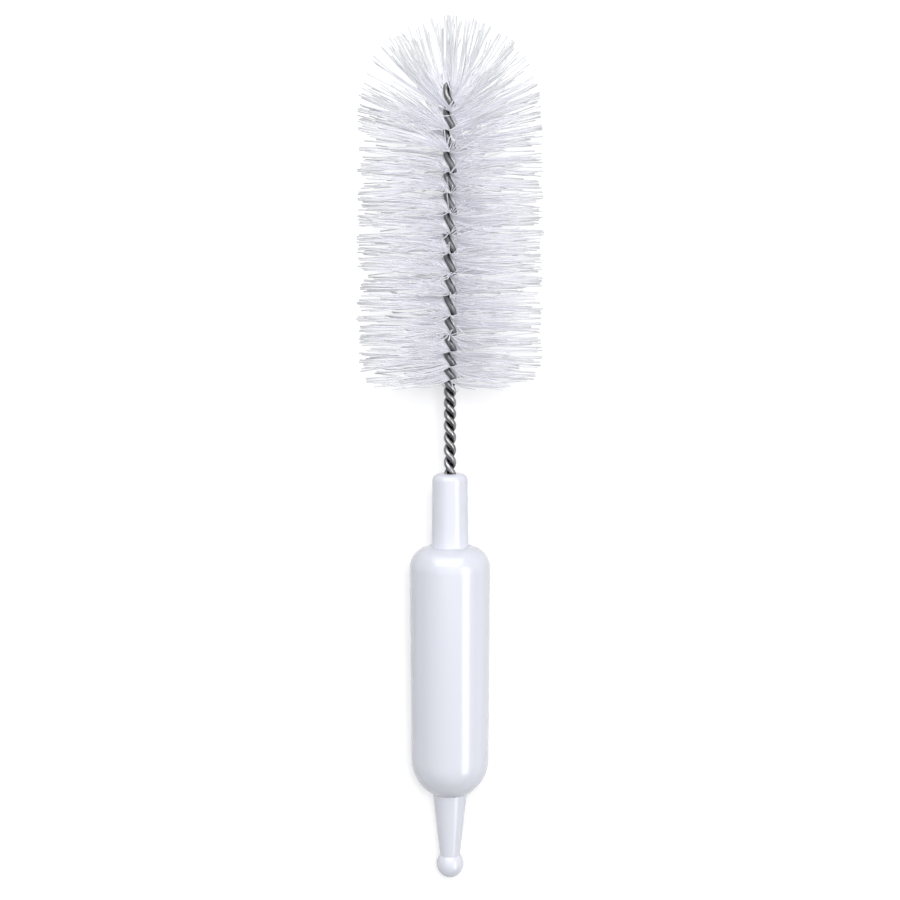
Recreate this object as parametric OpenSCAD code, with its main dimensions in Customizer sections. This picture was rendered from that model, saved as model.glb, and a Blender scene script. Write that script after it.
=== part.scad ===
// Bottle brush: a moulded handle, a stem of one wire folded and twisted with itself, and nylon
// filaments held between the two strands of the twist.
//
// Every piece is drawn upright, on the brush's own axis, with height 0 at the ball end of the handle.
// lie_down() then lays the brush on its side, because it can't stand on its ball or on its bristles:
// it rests on the round lower end of the barrel and on the handle side of the bristles, which give
// way a little under it. Lengths are in millimetres.

/* [Handle] */
// Diameter of the ball at the end of the handle
ball_d = 8.6; // [7.2:0.1:10]
// Height from the ball's centre to the centre of the barrel's round lower end
tail_len = 34.2; // [28:0.5:45]
// Diameter of the tail where it leaves the ball
tail_d_ball = 6.4; // [4:0.1:7]
// Diameter of the tail where it meets the barrel
tail_d_barrel = 11; // [8:0.1:15]
// Diameter of the barrel at its round lower end
barrel_d_low = 25; // [20:0.5:30]
// Diameter of the barrel under its shoulder
barrel_d_high = 26.1; // [20:0.1:31.5]
// Length of the barrel between its two rounded ends
barrel_len = 61.8; // [45:0.5:80]
// Diameter of the neck at the barrel's shoulder
neck_d_low = 12; // [10.5:0.1:15]
// Diameter of the neck at its top
neck_d_high = 11.5; // [10:0.1:14.5]
// Length of the neck above the shoulder
neck_len = 23.6; // [18:0.2:32]
// Radius of the round at the neck's top edge
neck_round = 2.3; // [0.5:0.1:2.5]

/* [Wire] */
// Diameter of the wire
strand_d = 2; // [1.6:0.1:2.4]
// Gap between the two strands of the bare twist
strand_gap = 0.04; // [0.02:0.01:0.1]
// Length that one turn of the twist takes at the top of the bare stem
stem_pitch = 7; // [6.6:0.1:9]
// How much that length grows with each millimetre down towards the handle and inside it
pitch_growth = 0.052; // [0.01:0.002:0.06]
// Length that one turn of the twist takes in the bristles
head_pitch = 13.2; // [11:0.1:17]
// Length in which the twist opens, from the first filaments up
ease_len = 22; // [8:1:30]
// Length of twisted wire inside the handle
anchor_len = 35; // [20:0.5:60]
// Length of bare twisted wire between the handle and the bristles
bare_len = 29.3; // [15:0.1:60]
// Gap between the twisted wire and the wall of its hole in the handle
bore_gap = 0.05; // [0:0.01:0.3]

/* [Bristles] */
// Diameter of the bristles, and length of one straight filament
head_d = 60; // [40:0.5:75]
// Length of the bristles, from the first filament to the top of the dome
head_len = 119; // [90:0.5:160]
// Height from the end of the wire to the top of the dome
dome_reach = 20.9; // [15:0.1:28]
// Diameter of one filament
filament_d = 0.4; // [0.25:0.01:0.48]
// Number of filaments in one turn of the twist
filaments_per_turn = 26; // [12:2:32]
// Gap between a filament and each strand that pinches it
pinch_gap = 0.02; // [0.005:0.005:0.05]
// Length of wire, just below its bare tip, whose filaments lean forward to make the dome
fan_len = 22; // [12:0.5:30]
// Angle on the dome, up from its rim, that the last filaments point at
fan_top = 80; // [50:1:82]
// Length in which a filament that leans makes its bend
bend_len = 3; // [2:0.1:6]

/* [Rest] */
// How far the bristles under the brush give way to its weight
rest_press = 1.5; // [0.3:0.1:4]

/* [Hidden] */
$fn = 96;

// Heights along the brush's axis
ball_z = ball_d / 2;
barrel_low_z = ball_z + tail_len;
barrel_high_z = barrel_low_z + barrel_len;
shoulder_r = (barrel_d_high - neck_d_low) / 2;
neck_low_z = barrel_high_z + shoulder_r;
neck_high_z = neck_low_z + neck_len;
head_z = neck_high_z + bare_len;
dome_z = head_z + head_len;
wire_tip_z = dome_z - dome_reach;
wire_end_z = neck_high_z - anchor_len;
bore_end_z = wire_end_z - strand_d / 2 - bore_gap; // clear of the strands' slanting ends

// Centre line of the wire: the strands all but touch in the stem, and stand a filament apart in the
// bristles
stem_r = (strand_d + strand_gap) / 2;
head_r = (strand_d + filament_d) / 2 + pinch_gap;
fold_z = wire_tip_z - head_r - strand_d / 2;
spread_len = 2; // length in which the strands part, just below the first filament
calm_len = 3; // length in which the twist dies away, just below the fold
bare_tip = 2; // length of wire below the fold that holds no filaments, as the twist dies away there
front_z = head_z - 0.95; // height at which the first strand lies in front, and the stem's twist ends
top_pitch = max(stem_pitch, 1.08 * PI * (strand_d + strand_gap)); // wound tighter, strands would cut
open_pitch = max(top_pitch, 2 * PI * head_r); // wound tighter, strands would cut the first filaments
rings_per_turn = 15;
wire_sides = 8;

// Rows of filaments
filament_step = head_pitch / filaments_per_turn;
filament_count = floor((fold_z - bare_tip - head_z) / filament_step);
fan_count = ceil(fan_len / filament_step);
side_count = filament_count - fan_count;
root_reach = head_r + strand_d / 2 + filament_d / 4; // a filament bends only outside the twist
bend_steps = 2;
filament_sides = 5;
brush_r = head_d / 2;
dome_centre_z = dome_z - brush_r;

// How the brush lies: the barrel's round end is a ball of radius barrel_r, and the rim of the
// bristles is pressed flat, so both touch the floor at one tilt of the axis.
barrel_r = barrel_d_low / 2;
rim_far = head_z - barrel_low_z;
rest_tilt = acos((barrel_r + rest_press) / norm([rim_far, brush_r])) - atan2(rim_far, brush_r);
rest_h = barrel_r - barrel_low_z * sin(rest_tilt); // height of the axis at the ball end's level
rest_back = ball_z * cos(rest_tilt) - ball_z; // how far back and forward the lying brush reaches
rest_front = dome_centre_z * cos(rest_tilt) + brush_r;

function axis_h(z) = rest_h + z * sin(rest_tilt);

// Turns of the twist between front_z and height z. The pitch changes evenly along the stem, and again
// among the first filaments, so it is linear in the height there and the turns are a logarithm.
opening = (head_pitch - open_pitch) / ease_len;
calm_z = fold_z - calm_len;
function turns(z) =
    let (up = z - front_z, calm = max(0, z - calm_z))
    up < 0 ? -ln(1 - pitch_growth * up / top_pitch) / pitch_growth :
    up < ease_len ? ln(1 + opening * up / open_pitch) / opening :
    ln(head_pitch / open_pitch) / opening + (up - ease_len) / head_pitch
        - calm * calm / (2 * calm_len * head_pitch);

// Angle of the first strand about the axis. The twist is left-handed, and dies away at the fold.
function azimuth(z) = -90 - 360 * turns(z);

function strand_r(z) =
    let (t = min(1, max(0, (z - head_z + spread_len) / spread_len)))
    stem_r + (head_r - stem_r) * t * t * (3 - 2 * t);

function strand_at(z, side) =
    [strand_r(z) * cos(azimuth(z) + side), strand_r(z) * sin(azimuth(z) + side), z];

// Centre line of the folded wire: up one strand, over the fold, and down the other
function span(from, to, pitch) =
    let (n = ceil((to - from) / pitch * rings_per_turn))
    [for (i = [0 : n - 1]) from + (to - from) * i / n];

strand_heights = concat(
    span(wire_end_z, head_z - spread_len, top_pitch),
    span(head_z - spread_len, head_z, top_pitch / 2),
    span(head_z, head_z + ease_len, (open_pitch + head_pitch) / 2),
    span(head_z + ease_len, fold_z, head_pitch)
);
fold_steps = 8;
fold_dir = [cos(azimuth(fold_z)), sin(azimuth(fold_z)), 0];
wire_path = concat(
    [for (z = strand_heights) strand_at(z, 0)],
    [for (i = [0 : fold_steps])
        let (b = 180 * i / fold_steps)
        fold_dir * head_r * cos(b) + [0, 0, fold_z + head_r * sin(b)]],
    [for (i = [len(strand_heights) - 1 : -1 : 0]) strand_at(strand_heights[i], 180)]
);

// Outward direction at each point of that line: away from the axis, or from the fold's centre
wire_outward = [for (p = wire_path) p[2] > fold_z ? p - [0, 0, fold_z] : [p[0], p[1], 0]];

// One ring of a tube's points, across the path at its point i, turned to face outward
function ring(path, i, outward, r, sides) =
    let (
        along = path[min(i + 1, len(path) - 1)] - path[max(i - 1, 0)],
        across = cross(along, outward),
        v = across / norm(across),
        w = cross(v, along) / norm(along)
    )
    [for (k = [0 : sides - 1]) path[i] + r * (cos(360 * k / sides) * w + sin(360 * k / sides) * v)];

module swept_tube(path, outward, r, sides) {
    last = len(path) - 1;
    points = [for (i = [0 : last]) each ring(path, i, outward[i], r, sides)];
    walls = [for (i = [0 : last - 1], k = [0 : sides - 1])
        let (a = i * sides + k, b = i * sides + (k + 1) % sides)
        each [[a, a + sides, b + sides], [a, b + sides, b]]];
    near_end = [for (k = [0 : sides - 1]) k];
    far_end = [for (k = [sides - 1 : -1 : 0]) last * sides + k];
    polyhedron(points, concat(walls, [near_end, far_end]), convexity = 20);
}

// Point of a leaning filament at share t of its bend, outward along the filament and up the axis
function bend_point(lean, t) =
    let (r = bend_len * 180 / (PI * lean))
    [root_reach + r * sin(lean * t), r * (1 - cos(lean * t))];

// Length of a leg that leaves its bend at height z, forward by lean, up to the outside of the
// bristles: the cylinder of the head, or the ball of the dome above its centre
function leg_len(z, lean) =
    let (
        from = bend_point(lean, 1),
        to_side = (brush_r - from[0]) / cos(lean),
        up = z + from[1] - dome_centre_z,
        along = from[0] * cos(lean) + up * sin(lean),
        to_dome = sqrt(along * along + brush_r * brush_r - from[0] * from[0] - up * up) - along
    )
    up + to_side * sin(lean) < 0 ? to_side : to_dome;

// One side of a leaning filament, from the wire to its tip
function bent_half(z, lean) =
    let (from = bend_point(lean, 1), reach = leg_len(z, lean))
    [for (i = [0 : bend_steps]) bend_point(lean, i / bend_steps), from + reach * [cos(lean), sin(lean)]];

// Length of a straight filament's half, from the axis at height z to the outside of the bristles,
// or to the floor where the brush lies on it
function half_len(z, turn) =
    let (
        drop = sin(turn) * cos(rest_tilt),
        edge = filament_d / 2 * sqrt(1 - drop * drop)
    )
    drop > 0 ? min(brush_r, (axis_h(z) - edge) / drop) : brush_r;

function filament_z(i) = head_z + (i + 0.5) * filament_step;
function filament_turn(i) = azimuth(filament_z(i)) + 90;

module straight_filament(z, turn) {
    near = half_len(z, turn + 180);
    translate([0, 0, z])
        rotate([0, 0, turn])
        translate([-near, 0, 0])
        rotate([0, 90, 0])
        cylinder(h = near + half_len(z, turn), d = filament_d, $fn = 16);
}

module bent_filament(z, turn, lean) {
    half = bent_half(z, lean);
    path = concat(
        [for (i = [len(half) - 1 : -1 : 0]) [-half[i][0], 0, half[i][1]]],
        [for (p = half) [p[0], 0, p[1]]]
    );
    translate([0, 0, z])
        rotate([0, 0, turn])
        swept_tube(path, [for (p = path) [0, 0, 1]], filament_d / 2, filament_sides);
}

// Outline of the handle's round parts, to the right of its axis
module right_half() {
    intersection() {
        children();
        translate([0, -1])
            square([barrel_d_high, neck_high_z + 2]);
    }
}

module handle_outline() {
    neck_r = neck_d_high / 2;
    // the tail runs into both balls, so that it leaves no step
    polygon([
        [0, ball_z],
        [tail_d_ball / 2, ball_z + sqrt(pow(ball_d / 2, 2) - pow(tail_d_ball / 2, 2))],
        [tail_d_barrel / 2, barrel_low_z - sqrt(pow(barrel_r, 2) - pow(tail_d_barrel / 2, 2))],
        [0, barrel_low_z]
    ]);
    right_half()
        translate([0, ball_z])
        circle(d = ball_d);
    right_half()
        translate([0, barrel_low_z])
        circle(d = barrel_d_low);
    polygon([
        [0, barrel_low_z],
        [barrel_r, barrel_low_z],
        [barrel_d_high / 2, barrel_high_z],
        [0, barrel_high_z]
    ]);
    // shoulder
    translate([0, barrel_high_z])
        square([neck_d_low / 2, shoulder_r]);
    intersection() {
        translate([neck_d_low / 2, barrel_high_z])
            circle(r = shoulder_r);
        translate([neck_d_low / 2, barrel_high_z])
            square(shoulder_r);
    }
    // neck, with its draft and its rounded top
    polygon([
        [0, neck_low_z],
        [neck_d_low / 2, neck_low_z],
        [neck_r, neck_high_z - neck_round],
        [neck_r - neck_round, neck_high_z - neck_round],
        [neck_r - neck_round, neck_high_z],
        [0, neck_high_z]
    ]);
    intersection() {
        translate([neck_r - neck_round, neck_high_z - neck_round])
            circle(r = neck_round);
        translate([neck_r - neck_round, neck_high_z - neck_round])
            square(neck_round);
    }
}

// Lays the brush down along +Y, with the middle of its length over the origin
module lie_down() {
    translate([0, -(rest_back + rest_front) / 2, rest_h])
        rotate([rest_tilt - 90, 0, 0])
        children();
}

module handle() {
    color("white")
        lie_down()
        difference() {
            rotate_extrude()
                handle_outline();
            translate([0, 0, bore_end_z])
                cylinder(h = neck_high_z - bore_end_z + 1, r = stem_r + strand_d / 2 + bore_gap);
        }
}

module stem_wire() {
    color("silver")
        lie_down()
        swept_tube(wire_path, wire_outward, strand_d / 2, wire_sides);
}

// Point on the outside of the bristles, found by the distance along it: up the side, then round the
// dome. The last filaments lean towards such points.
function outside_point(far) =
    let (a = max(0, far - dome_centre_z) * 180 / (PI * brush_r))
    [brush_r * cos(a), min(far, dome_centre_z) + brush_r * sin(a)];

// How far up the outside the last filament leans, and how the lean grows to it: slowly at first, so
// that only the last few fill the middle of the dome
fan_reach = dome_centre_z + brush_r * fan_top * PI / 180 - filament_z(filament_count - 1);
function lean_share(t) = 0.35 * t + 0.65 * pow(t, 6);

module side_filaments() {
    color("ghostwhite")
        lie_down()
        for (i = [0 : side_count - 1])
            straight_filament(filament_z(i), filament_turn(i));
}

module fan_filaments() {
    color("ghostwhite")
        lie_down()
        for (i = [1 : fan_count]) {
            z = filament_z(side_count + i - 1);
            tip = outside_point(z + fan_reach * lean_share(i / fan_count));
            lean = atan2(tip[1] - z, tip[0] - root_reach);
            bent_filament(z, filament_turn(side_count + i - 1), lean);
        }
}

handle();
stem_wire();
side_filaments();
fan_filaments();
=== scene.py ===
# A bottle brush lying on a white table: moulded handle, twisted steel stem, nylon filaments
import math
import random

import bpy
from mathutils import Matrix, Vector, kdtree


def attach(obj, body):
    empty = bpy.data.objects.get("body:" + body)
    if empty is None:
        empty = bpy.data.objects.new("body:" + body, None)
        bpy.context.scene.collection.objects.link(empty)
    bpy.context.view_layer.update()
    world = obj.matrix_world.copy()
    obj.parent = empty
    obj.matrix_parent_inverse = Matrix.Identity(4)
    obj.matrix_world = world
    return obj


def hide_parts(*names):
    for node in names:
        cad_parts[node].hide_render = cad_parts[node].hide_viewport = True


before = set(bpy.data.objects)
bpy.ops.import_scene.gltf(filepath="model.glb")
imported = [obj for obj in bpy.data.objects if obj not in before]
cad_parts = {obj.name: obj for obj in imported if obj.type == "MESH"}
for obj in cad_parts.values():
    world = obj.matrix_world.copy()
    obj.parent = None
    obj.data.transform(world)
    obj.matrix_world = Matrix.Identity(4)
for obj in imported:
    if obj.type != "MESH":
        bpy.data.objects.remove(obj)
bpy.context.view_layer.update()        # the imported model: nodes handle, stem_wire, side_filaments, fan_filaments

mm = 0.001               # lengths below are in millimetres, and are turned to metres once


brush = {
    "lowEndAt": 38.5,    # centre of the barrel's round low end, along the axis from the ball end
    "lowEndRadius": 12.5,
    "headAt": 160.25,    # first filament
    "headTop": 279.25,   # top of the dome
    "headRadius": 30.0,
    "restPress": 1.5,    # how far the head gives way where it lies on the table
    "ballRadius": 4.3,
}


def lieDown():
    # the barrel's round end and the rim of the head touch the table at one tilt
    rimFar = brush["headAt"] - brush["lowEndAt"]
    reach = math.hypot(rimFar, brush["headRadius"])
    tilt = math.acos((brush["lowEndRadius"] + brush["restPress"]) / reach)
    tilt -= math.atan2(rimFar, brush["headRadius"])
    lift = brush["lowEndRadius"] - brush["lowEndAt"] * math.sin(tilt)
    back = brush["ballRadius"] * (math.cos(tilt) - 1)
    front = (brush["headTop"] - brush["headRadius"]) * math.cos(tilt) + brush["headRadius"]
    return tilt, Vector((0, -(back + front) / 2, lift))


tilt, ballEnd = lieDown()
along = Vector((0, math.cos(tilt), math.sin(tilt)))      # from the ball to the dome
facing = Vector((0, -math.sin(tilt), math.cos(tilt)))    # from the axis straight up to the viewer
right = Vector((1, 0, 0))


def onBrush(height, radius=0.0, angle=0.0):
    # a point at a height along the axis, angle in degrees from the right hand side up to the viewer
    turn = math.radians(angle)
    out = right * math.cos(turn) + facing * math.sin(turn)
    return (ballEnd + along * height + out * radius) * mm


def newMaterial(name):
    material = bpy.data.materials.new(name)
    material.use_nodes = True
    nodes = material.node_tree.nodes
    links = material.node_tree.links
    shader = nodes["Principled BSDF"]
    return material, nodes, links, shader


def addNoise(nodes, links, vector, scale, detail=3.0, roughness=0.5):
    noise = nodes.new("ShaderNodeTexNoise")
    noise.inputs["Scale"].default_value = scale
    noise.inputs["Detail"].default_value = detail
    noise.inputs["Roughness"].default_value = roughness
    links.new(vector, noise.inputs["Vector"])
    return noise.outputs["Fac"]


def addRange(nodes, links, value, low, high, fromLow=0.0, fromHigh=1.0):
    span = nodes.new("ShaderNodeMapRange")
    span.inputs["From Min"].default_value = fromLow
    span.inputs["From Max"].default_value = fromHigh
    span.inputs["To Min"].default_value = low
    span.inputs["To Max"].default_value = high
    links.new(value, span.inputs["Value"])
    return span.outputs["Result"]


def addMix(nodes, links, factor, first, second):
    mix = nodes.new("ShaderNodeMix")
    mix.data_type = "RGBA"
    links.new(factor, mix.inputs["Factor"])
    for socket, colour in ((mix.inputs["A"], first), (mix.inputs["B"], second)):
        if isinstance(colour, tuple):
            socket.default_value = (*colour, 1.0)
        else:
            links.new(colour, socket)
    return mix.outputs["Result"]


def addBump(nodes, links, height, strength, distance):
    bump = nodes.new("ShaderNodeBump")
    bump.inputs["Strength"].default_value = strength
    bump.inputs["Distance"].default_value = distance
    links.new(height, bump.inputs["Height"])
    return bump.outputs["Normal"]


noiseSpan = (0.3, 0.7)      # most values of a noise lie between these

plastic = {
    "colour": (0.735, 0.75, 0.825),
    "shadeColour": (0.72, 0.735, 0.81),
    "cloudScale": 45.0,     # faint clouds of the two colours
    "roughness": (0.13, 0.19),
    "rubbedScale": 420.0,   # where hands have rubbed it
    "rippleScale": 160.0,   # soft waves of the moulding
    "rippleStrength": 0.35,
    "rippleDepth": 0.02,
    "ior": 1.5,
}


def glossPlastic():
    material, nodes, links, shader = newMaterial("whiteGlossPlastic")
    place = nodes.new("ShaderNodeTexCoord").outputs["Object"]
    cloud = addNoise(nodes, links, place, plastic["cloudScale"], detail=2.0)
    links.new(addMix(nodes, links, cloud, plastic["shadeColour"], plastic["colour"]),
              shader.inputs["Base Color"])
    rubbed = addNoise(nodes, links, place, plastic["rubbedScale"], detail=4.0, roughness=0.6)
    links.new(addRange(nodes, links, rubbed, *plastic["roughness"], *noiseSpan),
              shader.inputs["Roughness"])
    ripple = addNoise(nodes, links, place, plastic["rippleScale"], detail=1.0)
    links.new(addBump(nodes, links, ripple, plastic["rippleStrength"], plastic["rippleDepth"] * mm),
              shader.inputs["Normal"])
    shader.inputs["IOR"].default_value = plastic["ior"]
    return material


steel = {
    "colour": (0.40, 0.40, 0.41),
    "edgeColour": (0.02, 0.02, 0.02),   # how the metal darkens towards its outline
    "stainColour": (0.30, 0.295, 0.29),
    "stainScale": 320.0,
    "stainSpan": (0.42, 0.7),   # between these values of its noise a stain comes in
    # painted shade: the steel is painted darker in the valleys of the twist and, less, on the crests among the
    # filaments
    "grooveColour": (0.075, 0.075, 0.077),  # painted shade where the strands and filaments meet
    "shadedTo": 0.12,       # how far out on a strand, from its centre line, the painted shade is full
    "unshadedFrom": 0.7,       # and from where the steel has no painted shade
    "headPaintedShade": 0.45,       # how much of the painted shade lies on the crests too, among the filaments
    "headShadeEase": 3.0,        # it sets in this far below and above the first filament
    "roughness": (0.28, 0.4),
    "drawnLines": 90.0,     # fine lines left by drawing the wire, around its girth
    "lineLength": 0.35,
    "lineStrength": 0.4,
    "lineDepth": 0.02,
}


def drawnSteel():
    material, nodes, links, shader = newMaterial("drawnSteel")
    wrap = nodes.new("ShaderNodeUVMap")
    wrap.uv_map = "wireMap"
    stretch = nodes.new("ShaderNodeMapping")
    stretch.inputs["Scale"].default_value = (steel["drawnLines"], steel["lineLength"], 1.0)
    links.new(wrap.outputs["UV"], stretch.inputs["Vector"])
    lines = addNoise(nodes, links, stretch.outputs["Vector"], 1.0, detail=3.0, roughness=0.6)
    place = nodes.new("ShaderNodeTexCoord").outputs["Object"]
    stain = addNoise(nodes, links, place, steel["stainScale"], detail=4.0, roughness=0.6)
    bare = addMix(nodes, links, addRange(nodes, links, stain, 0.0, 1.0, *steel["stainSpan"]),
                  steel["colour"], steel["stainColour"])
    # painted shade: the steel darkens towards the groove colour where the unshaded share is low
    unshadedShare = nodes.new("ShaderNodeAttribute")
    unshadedShare.attribute_name = "unshadedShare"
    links.new(addMix(nodes, links, unshadedShare.outputs["Fac"], steel["grooveColour"], bare),
              shader.inputs["Base Color"])
    links.new(addRange(nodes, links, lines, *steel["roughness"], *noiseSpan),
              shader.inputs["Roughness"])
    links.new(addBump(nodes, links, lines, steel["lineStrength"], steel["lineDepth"] * mm),
              shader.inputs["Normal"])
    shader.inputs["Metallic"].default_value = 1.0
    shader.inputs["Specular Tint"].default_value = (*steel["edgeColour"], 1.0)
    return material


nylon = {
    "rootColour": (0.895, 0.895, 0.955),
    # the tips are painted greyer: painted shade, not a colour of the nylon
    "tipPaintedShade": (0.75, 0.76, 0.79),
    "tipShadeFrom": 20.5,        # distance from the axis at which the painted shade on the tips begins
    "tipShadeTo": 31.0,          # and at which the tips are painted quite grey
    "tipAbove": 238.0,      # in the dome it is the distance from this point of the axis
    "darkFilament": 0.95,   # how dark the darkest filament is beside the lightest
    "roughness": (0.26, 0.42),
    "hazeScale": 700.0,     # how finely the roughness varies
    "ior": 1.53,
    "sheen": 0.5,           # light that fine threads send back at their edges
    "sheenRoughness": 0.4,
    "passedLight": (0.9, 0.9, 0.905),  # lamplight that each wall lets through to what lies behind
}


def clearNylon():
    material, nodes, links, shader = newMaterial("nylonFilament")
    # painted shade: the filaments turn greyer towards their tips
    tipShadeShare = nodes.new("ShaderNodeAttribute")
    tipShadeShare.attribute_name = "tipShadeShare"
    tone = nodes.new("ShaderNodeAttribute")
    tone.attribute_name = "tone"
    colour = addMix(nodes, links, tipShadeShare.outputs["Fac"], nylon["rootColour"], nylon["tipPaintedShade"])
    darkest = (nylon["darkFilament"],) * 3
    shade = addMix(nodes, links, tone.outputs["Fac"], darkest, (1.0, 1.0, 1.0))
    times = nodes.new("ShaderNodeMix")
    times.data_type = "RGBA"
    times.blend_type = "MULTIPLY"
    times.inputs["Factor"].default_value = 1.0
    links.new(colour, times.inputs["A"])
    links.new(shade, times.inputs["B"])
    links.new(times.outputs["Result"], shader.inputs["Base Color"])
    place = nodes.new("ShaderNodeTexCoord").outputs["Object"]
    haze = addNoise(nodes, links, place, nylon["hazeScale"], detail=2.0)
    links.new(addRange(nodes, links, haze, *nylon["roughness"], *noiseSpan),
              shader.inputs["Roughness"])
    shader.inputs["IOR"].default_value = nylon["ior"]
    shader.inputs["Sheen Weight"].default_value = nylon["sheen"]
    shader.inputs["Sheen Roughness"].default_value = nylon["sheenRoughness"]
    # clear nylon hardly shades the filaments behind it
    path = nodes.new("ShaderNodeLightPath")
    clear = nodes.new("ShaderNodeBsdfTransparent")
    clear.inputs["Color"].default_value = (*nylon["passedLight"], 1.0)
    passing = nodes.new("ShaderNodeMixShader")
    links.new(path.outputs["Is Shadow Ray"], passing.inputs[0])
    links.new(shader.outputs[0], passing.inputs[1])
    links.new(clear.outputs[0], passing.inputs[2])
    links.new(passing.outputs[0], nodes["Material Output"].inputs["Surface"])
    return material


def strandsFromLines(name, lines, radius, sides):
    # one curve with a round bevel, turned into a mesh; each line is a list of points in metres
    bpy.ops.object.select_all(action="DESELECT")
    curve = bpy.data.curves.new(name, "CURVE")
    curve.dimensions = "3D"
    curve.bevel_depth = radius
    curve.bevel_resolution = sides // 2 - 2
    curve.use_fill_caps = True
    for line in lines:
        spline = curve.splines.new("POLY")
        spline.points.add(len(line) - 1)
        spline.points.foreach_set("co", [c for p in line for c in (p.x, p.y, p.z, 1.0)])
    strands = bpy.data.objects.new(name, curve)
    bpy.context.collection.objects.link(strands)
    bpy.context.view_layer.objects.active = strands
    strands.select_set(True)
    bpy.ops.object.convert(target="MESH")
    strands = bpy.context.object
    bpy.ops.object.shade_smooth()
    return strands


def closeCaps(strands):
    # the end caps come loose from their tubes
    bpy.ops.object.select_all(action="DESELECT")
    bpy.context.view_layer.objects.active = strands
    strands.select_set(True)
    bpy.ops.object.mode_set(mode="EDIT")
    bpy.ops.mesh.select_all(action="SELECT")
    bpy.ops.mesh.remove_doubles(threshold=0.0000001)
    bpy.ops.object.mode_set(mode="OBJECT")
    strands.select_set(False)


def addPointValues(strands, name, values):
    attribute = strands.data.attributes.new(name, "FLOAT", "POINT")
    attribute.data.foreach_set("value", values)


def placesOf(strands, top):
    # height and distance from the axis of each vertex; past the top, distance from the axis's end
    foot = onBrush(0)
    heights = [(v.co - foot).dot(along) / mm for v in strands.data.vertices]
    distances = [(v.co - onBrush(min(h, top))).length / mm
                 for v, h in zip(strands.data.vertices, heights)]
    return heights, distances


def shares(values, low, high):
    return [min(1.0, max(0.0, (value - low) / (high - low))) for value in values]


# The stem is one wire, folded over and twisted with itself.
wire = {
    "radius": 1.0,
    "strandGap": 0.04,       # between the strands of the bare twist
    "filamentGap": 0.44,     # between them in the head, where they pinch the filaments
    "endAt": 95.95,          # inside the handle
    "tipAt": 258.35,
    "crossingAt": 159.3,     # here one strand lies in front of the other
    "stemPitch": 7.0,        # just below that crossing, and it grows towards the handle
    "stemPitchGrowth": 0.052,
    "openPitch": 7.665,      # just above the crossing, where the first filaments part the strands
    "headPitch": 13.2,
    "easeLength": 22.0,      # length in which the twist opens to the head's
    "calmLength": 3.0,       # the twist dies away before the fold
    "partLength": 2.0,       # below the first filament, where the strands move apart
    "step": 0.22,
    "foldSteps": 14,
    "sides": 16,
}
headStrandRadius = wire["radius"] + wire["filamentGap"] / 2
stemStrandRadius = wire["radius"] + wire["strandGap"] / 2
foldAt = wire["tipAt"] - headStrandRadius - wire["radius"]


def twistAngle(height):
    # angle of the first strand; the pitch changes evenly along the stem and where the head begins
    low, high = wire["openPitch"], wire["headPitch"]
    growth = wire["stemPitchGrowth"]
    opening = (high - low) / wire["easeLength"]
    past = height - wire["crossingAt"]
    if past <= 0:
        turns = -math.log(1 - growth * past / wire["stemPitch"]) / growth
    elif past < wire["easeLength"]:
        turns = math.log(1 + opening * past / low) / opening
    else:
        turns = math.log(high / low) / opening + (past - wire["easeLength"]) / high
    calm = height - (foldAt - wire["calmLength"])
    if calm > 0:
        turns -= calm * calm / (2 * wire["calmLength"] * high)
    return 90 + 360 * turns


def strandRadiusAt(height):
    share = min(1.0, max(0.0, (height - brush["headAt"]) / wire["partLength"] + 1))
    share = share * share * (3 - 2 * share)
    return stemStrandRadius + (headStrandRadius - stemStrandRadius) * share


def foldedWire():
    # up one strand, over the fold and down the other
    count = round((foldAt - wire["endAt"]) / wire["step"])
    heights = [wire["endAt"] + (foldAt - wire["endAt"]) * i / count for i in range(count)]
    line = [onBrush(h, strandRadiusAt(h), twistAngle(h)) for h in heights]
    foldAngle = twistAngle(foldAt)
    for i in range(wire["foldSteps"] + 1):
        bend = math.pi * i / wire["foldSteps"]
        line.append(onBrush(foldAt + headStrandRadius * math.sin(bend),
                            headStrandRadius * math.cos(bend), foldAngle))
    line += [onBrush(h, strandRadiusAt(h), twistAngle(h) + 180) for h in reversed(heights)]
    return line


def unshadedShares():
    # how free of painted shade each vertex is: painted shade lies in the valleys of the twist, and where the
    # filaments are some of it lies on the crests too, dimming their highlights
    heights, distances = placesOf(stem, brush["headTop"])
    outward = [d - strandRadiusAt(h) for h, d in zip(heights, distances)]
    unshaded = shares(outward, steel["shadedTo"], steel["unshadedFrom"])
    among = shares(heights, brush["headAt"] - steel["headShadeEase"], brush["headAt"] + steel["headShadeEase"])
    return [c * (1 - steel["headPaintedShade"] * a) for c, a in zip(unshaded, among)]


stem = strandsFromLines("stemWire", [foldedWire()], wire["radius"] * mm, wire["sides"])
stem.data.uv_layers[0].name = "wireMap"
closeCaps(stem)
# painted shade in the twist's valleys and among the filaments
addPointValues(stem, "unshadedShare", unshadedShares())
stem.data.materials.append(drawnSteel())
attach(stem, "root")
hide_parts("stem_wire")
print("stem:", len(stem.data.vertices), "vertices")


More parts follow.
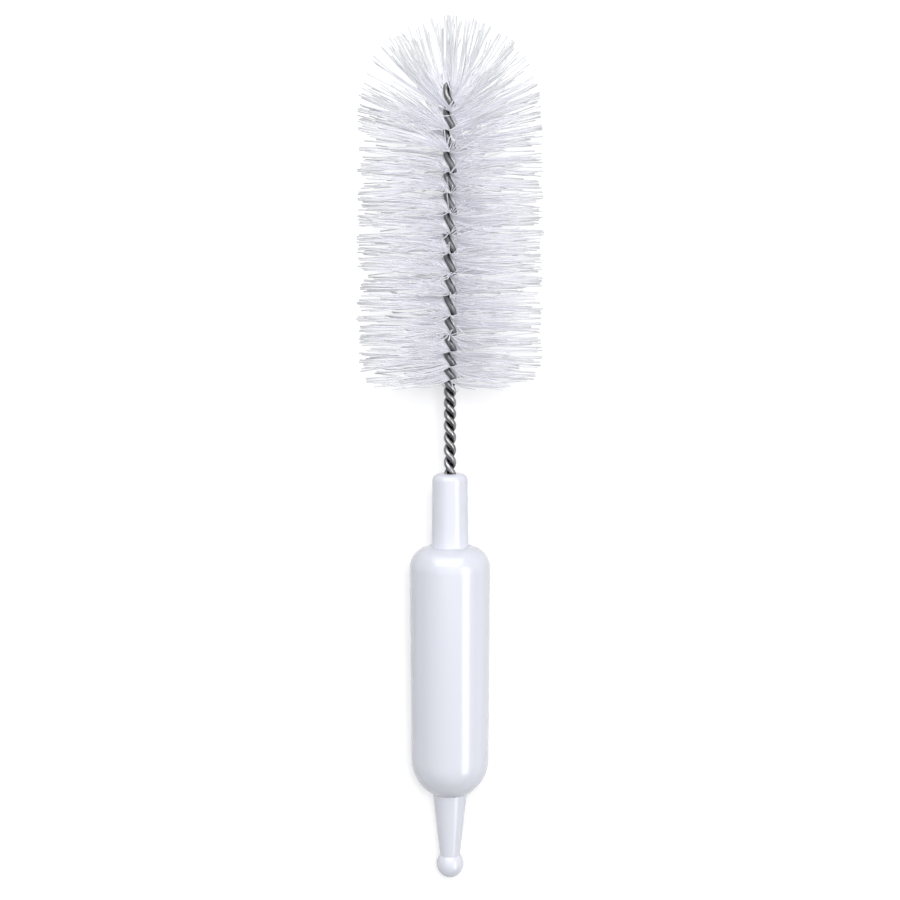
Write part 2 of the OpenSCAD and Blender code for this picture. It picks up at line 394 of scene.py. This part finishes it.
# Nylon filaments, each held at its middle in the twist.
head = {
    "seed": 27,
    "radius": 0.20,          # of one filament
    "sides": 4,
    "legSteps": 5,
    "perMillimetre": 9.4,    # filaments along the wire
    "domeShare": 1.4,        # how much closer they stand where they make the dome
    "domeFrom": 236.0,       # above this they make the dome
    "splayAngle": 5.8,       # how far filaments splay across the slot that they leave by, degrees
    "strayAngle": 1.6,       # and how far their tips stray, any way
    "settle": (0.38, 0.75),  # share of the splay left at their tips, in the lowest row and the last
    "brokenShare": 0.13,     # share of ends that are broken off near the wire, and splay more
    "brokenSplay": 26.0,
    "brokenLength": (0.15, 0.5),     # share of their length that is left
    "mostSplay": 42.0,       # no end splays more than this
    "pinch": 1.9,            # straight between the strands up to this distance from the axis
    "leanStart": 232.0,      # where the forward lean sets in, and how it grows to the last one
    "leanReach": 39.0,
    "leanShape": (0.35, 5),  # share of the lean that grows evenly, and the power of the rest
    "leanScatter": (3.5, 26.0),  # how unevenly the last ones lean: millimetres at the tip, degrees
    "partings": ((160.0, 171.0), (238.0, 253.5)),    # where they part and bare the wire
    "partingWidth": 38.0,    # on the side away from the table, degrees to either side
    "partingPush": 0.8,      # share of that width by which the middle ones move
    "domeMost": 88.0,        # the foremost tips' angle round the dome, degrees
    "domeScatter": 1.5,
    "poleMost": 89.5,        # nothing lies nearer to the dome's pole
    "droop": 3.2,            # the lowest rows lean back a little
    "droopLength": 9.0,
    "gather": 0.55,          # and the lowest tips draw together to this share of their height
    "sideClumps": 700,       # loose bunches of tips
    "domeClumps": 300,
    "clumpPull": 0.42,       # how far a tip moves to the middle of its bunch
    "pullRange": (0.5, 1.2),     # how much less or more than that
    "ragged": 0.75,          # how uneven the bunches' cut ends are
    "raggedWithin": 0.4,     # and how uneven, beside that, the ends in one bunch
    "proud": 0.55,           # how far the longest stand out
    "corner": 4.0,           # how much shorter the lowest row reaches
    "bow": 0.15,             # how far it bows sideways
    "leaveOut": 0.35,        # how it leaves the wire: 0 is towards its tip, 1 is straight out
    "bendAt": 0.42,          # and the share of its length at which it bends
}
draw = random.Random(head["seed"])
domeCentre = brush["headTop"] - brush["headRadius"]


def onOutside(far, angle, depth=0.0):
    # a point on the head's outside: up its side, then round its dome, sunk in by a depth
    radius = brush["headRadius"] - depth
    if far <= domeCentre:
        return onBrush(far, radius, angle)
    turn = min((far - domeCentre) / brush["headRadius"], math.radians(head["poleMost"]))
    return onBrush(domeCentre + radius * math.sin(turn), radius * math.cos(turn), angle)


def parted(height, angle):
    # the angle to which a filament near an end of the head is pushed aside from the parting
    aside = (angle - 90 + 180) % 360 - 180
    room = head["partingWidth"] - abs(aside)
    if room < 0 or not any(low < height < high for low, high in head["partings"]):
        return angle
    return angle + math.copysign(room * head["partingPush"], aside)


def tipPlace(height, angle, splay):
    # where the filament rooted at a height and pointing at an angle ends: distance along the outside,
    # and angle; the slot between the strands slants, and filaments splay at right angles to it
    far = height + math.radians(splay + draw.gauss(0, head["strayAngle"])) * brush["headRadius"]
    share = (height - head["leanStart"]) / (foldAt - head["leanStart"])
    if share > 0:
        even, power = head["leanShape"]
        far += head["leanReach"] * (even * share + (1 - even) * share ** power)
        far += draw.gauss(0, head["leanScatter"][0]) * share
        angle += draw.gauss(0, head["leanScatter"][1]) * share
    angle = parted(height, angle)
    low = (height - brush["headAt"]) / head["droopLength"]
    if low < 1:
        far = brush["headAt"] + (far - brush["headAt"]) * (head["gather"] + (1 - head["gather"]) * low)
        far -= head["droop"] * (1 - low) ** 2 * draw.random()
    else:
        far = max(far, brush["headAt"] + draw.random())
    topMost = domeCentre + brush["headRadius"] * math.radians(head["domeMost"])
    far = min(far, topMost - abs(draw.gauss(0, head["domeScatter"])))
    return far, angle - splay + draw.gauss(0, head["strayAngle"])


def clumpCentres():
    # the bunches that neighbouring tips gather in, spread evenly over the side and over the dome
    length = domeCentre - brush["headAt"]
    distances = [brush["headAt"] + length * draw.random() for i in range(head["sideClumps"])]
    distances += [domeCentre + brush["headRadius"] * math.asin(draw.random())
                  for i in range(head["domeClumps"])]
    centres = [(far, draw.uniform(0, 360), abs(draw.gauss(0, head["ragged"])))
               for far in distances]
    tree = kdtree.KDTree(len(centres))
    for i, (far, angle, sunk) in enumerate(centres):
        tree.insert(onOutside(far, angle), i)
    tree.balance()
    return centres, tree


centres, centreTree = clumpCentres()


def stayAboveTable(line):
    # what reaches the table bends flat along it, with its length kept
    floor = head["radius"] * mm
    for i in range(1, len(line)):
        if line[i].z >= floor:
            continue
        step = line[i] - line[i - 1]
        flat = Vector((step.x, step.y, 0))
        drop = floor - line[i - 1].z
        reach = math.sqrt(max(step.length_squared - drop * drop, 0.0))
        moved = line[i - 1] + flat.normalized() * reach
        moved.z = floor
        shift = moved - line[i]
        for j in range(i, len(line)):
            line[j] = line[j] + Vector((shift.x, shift.y, 0))
        line[i].z = floor
    return line


def makeLeg(height, angle):
    # one side of a filament: straight out between the strands, then bowed to its tip
    broken = draw.random() < head["brokenShare"]
    splay = draw.gauss(0, head["brokenSplay"] if broken else head["splayAngle"])
    splay = max(-head["mostSplay"], min(head["mostSplay"], splay))
    upward = (height - brush["headAt"]) / (foldAt - brush["headAt"])
    settle = head["settle"][0] + (head["settle"][1] - head["settle"][0]) * upward
    far, tipAngle = tipPlace(height, angle, splay * settle)
    tip = onOutside(far, tipAngle)
    place, index, gap = centreTree.find(tip)
    pull = head["clumpPull"] * draw.uniform(*head["pullRange"])
    sunk = centres[index][2] + abs(draw.gauss(0, head["raggedWithin"] * head["ragged"]))
    tip = tip.lerp(place, pull)
    low = max(0.0, 1 - (height - brush["headAt"]) / head["droopLength"])
    sunk += head["corner"] * low * low - head["proud"]
    root = onBrush(height, head["pinch"], angle)
    out = (root - onBrush(height)).normalized()
    reach = tip - root
    tip = tip - reach.normalized() * sunk * mm
    if broken:
        tip = root.lerp(tip, draw.uniform(*head["brokenLength"]))
    reach = tip - root
    across = along if abs(reach.normalized().dot(along)) < 0.9 else right    # never its own way
    sideways = reach.cross(across).normalized()
    bow = sideways * draw.gauss(0, head["bow"]) * mm + along * draw.gauss(0, head["bow"]) * mm
    leave = out * head["leaveOut"] + reach.normalized() * (1 - head["leaveOut"])
    leave += along * math.tan(math.radians(splay))
    control = root + leave * reach.length * head["bendAt"] + bow
    line = []
    for i in range(head["legSteps"]):
        t = i / (head["legSteps"] - 1)
        line.append(root * (1 - t) ** 2 + control * 2 * t * (1 - t) + tip * t * t)
    return stayAboveTable(line)


def makeFilament(height):
    angle = twistAngle(height) + 90
    first = makeLeg(height, angle)
    second = makeLeg(height, angle + 180)
    return list(reversed(first)) + [onBrush(height)] + second


def makeFilaments(name, low, high, share):
    count = round((high - low) * head["perMillimetre"] * share)
    heights = [low + (high - low) * (i + draw.random()) / count for i in range(count)]
    lines = [makeFilament(h) for h in heights]
    bunch = strandsFromLines(name, lines, head["radius"] * mm, head["sides"])
    each = len(bunch.data.vertices) // count
    tones = [t for t in (draw.random() for i in range(count)) for j in range(each)]
    addPointValues(bunch, "tone", tones)
    # how far out each vertex lies, for the painted shade on the tips
    heights, distances = placesOf(bunch, nylon["tipAbove"])
    addPointValues(bunch, "tipShadeShare", shares(distances, nylon["tipShadeFrom"], nylon["tipShadeTo"]))
    closeCaps(bunch)
    print(name + ":", count, "filaments,", each, "vertices each,", len(bunch.data.polygons), "faces")
    return bunch


filamentNylon = clearNylon()
for name, node, low, high, share in (
    ("sideFilaments", "side_filaments", brush["headAt"], head["domeFrom"], 1.0),
    ("domeFilaments", "fan_filaments", head["domeFrom"], foldAt, head["domeShare"]),
):
    bunch = makeFilaments(name, low, high, share)
    bunch.data.materials.append(filamentNylon)
    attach(bunch, "root")
    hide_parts(node)


# The handle's shape is right as it comes, and only gets its finish.
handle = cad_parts["handle"]
handlePlastic = glossPlastic()
for slot in handle.material_slots:
    slot.material = handlePlastic


table = {
    "size": 12.0,
    "colour": (0.60, 0.60, 0.605),
    "lift": 0.42,            # how much whiter it looks than it is lit
    "roughness": 0.9,
    "gloss": 0.1,
}


def makeTable():
    bpy.ops.object.select_all(action="DESELECT")
    bpy.ops.mesh.primitive_plane_add(size=table["size"], location=(0, 0, 0))
    top = bpy.context.object
    top.name = "tableTop"
    material, nodes, links, shader = newMaterial("paleTable")
    shader.inputs["Base Color"].default_value = (*table["colour"], 1.0)
    shader.inputs["Roughness"].default_value = table["roughness"]
    shader.inputs["Specular IOR Level"].default_value = table["gloss"]
    # seen directly or in a reflection the table is a little whiter, and it keeps the shadow
    path = nodes.new("ShaderNodeLightPath")
    seen = nodes.new("ShaderNodeMath")
    seen.operation = "MAXIMUM"
    links.new(path.outputs["Is Camera Ray"], seen.inputs[0])
    links.new(path.outputs["Is Glossy Ray"], seen.inputs[1])
    also = nodes.new("ShaderNodeMath")
    also.operation = "MAXIMUM"
    links.new(seen.outputs[0], also.inputs[0])
    links.new(path.outputs["Is Transmission Ray"], also.inputs[1])
    glow = nodes.new("ShaderNodeMath")
    glow.operation = "MULTIPLY"
    glow.inputs[1].default_value = table["lift"]
    links.new(also.outputs[0], glow.inputs[0])
    shader.inputs["Emission Color"].default_value = (1.0, 1.0, 1.0, 1.0)
    links.new(glow.outputs[0], shader.inputs["Emission Strength"])
    top.data.materials.append(material)


studio = {
    "worldColour": (0.97, 0.98, 1.0),
    "worldLevel": 0.12,
    # each softbox: its direction, to the right, along the brush and up; how far off it stands, its
    # width across the brush and its length along it, in metres; its watts for each square metre;
    # and the point on the axis that it faces
    "keyBox": ((0.05, 0.28, 1.0), 1.3, (0.30, 0.30), 104.0, 138.5),
    "topBox": ((0.0, 0.45, 1.0), 1.0, (1.6, 1.6), 3.8, 138.5),
    "stripBox": ((1.07, 0.0, 1.0), 1.0, (0.40, 1.1), 14.4, -60.0),
    "endBox": ((-0.2, 1.9, 1.0), 0.9, (1.2, 0.9), 10.4, 105.0),
    "lowBox": ((1.0, 0.0, 0.3), 0.2, (0.12, 0.16), 4.0, 45.0),
    "cameraAt": 187.0,       # the camera stands over this point of the axis, level with the brush
    "middleAt": 138.55,      # and its lens is shifted to bring this point to the picture's middle
    "lens": 60.0,
    "sensor": 36.0,
    "viewWidth": 292.5,      # what the picture spans at the axis
}


def addSoftbox(name):
    (side, up, over), distance, size, brightness, aim = studio[name]
    data = bpy.data.lights.new(name, "AREA")
    data.shape = "RECTANGLE"
    data.size, data.size_y = size
    data.energy = brightness * size[0] * size[1]
    lamp = bpy.data.objects.new(name, data)
    bpy.context.collection.objects.link(lamp)
    direction = (right * side + along * up + facing * over).normalized()
    lamp.location = onBrush(aim) + direction * distance
    across = along.cross(direction).normalized()
    turned = Matrix((across, direction.cross(across), direction)).transposed()
    lamp.rotation_mode = "QUATERNION"
    lamp.rotation_quaternion = turned.to_quaternion()
    lamp.visible_camera = False
    return lamp


def makeStudio():
    world = bpy.data.worlds.new("studioWorld")
    bpy.context.scene.world = world
    world.use_nodes = True
    sky = world.node_tree.nodes["Background"]
    sky.inputs["Color"].default_value = (*studio["worldColour"], 1.0)
    sky.inputs["Strength"].default_value = studio["worldLevel"]
    addSoftbox("keyBox").visible_glossy = False     # lights the filaments to their roots
    addSoftbox("topBox")
    addSoftbox("stripBox").visible_diffuse = False  # only the long highlight on the handle
    addSoftbox("endBox").visible_diffuse = False    # and the one on its shoulder
    addSoftbox("lowBox").visible_glossy = False     # lights the handle's right hand side
    camera = bpy.data.cameras.new("camera")
    camera.lens = studio["lens"]
    camera.sensor_width = studio["sensor"]
    seat = bpy.data.objects.new("camera", camera)
    bpy.context.collection.objects.link(seat)
    distance = studio["viewWidth"] * mm * camera.lens / camera.sensor_width
    camera.shift_y = (studio["middleAt"] - studio["cameraAt"]) / studio["viewWidth"]
    seat.location = onBrush(studio["cameraAt"]) + facing * distance
    seat.rotation_mode = "QUATERNION"
    seat.rotation_quaternion = facing.to_track_quat("Z", "Y")
    bpy.context.scene.camera = seat


makeTable()
makeStudio()
bpy.context.scene.view_settings.view_transform = "Standard"
print("table, light and camera")
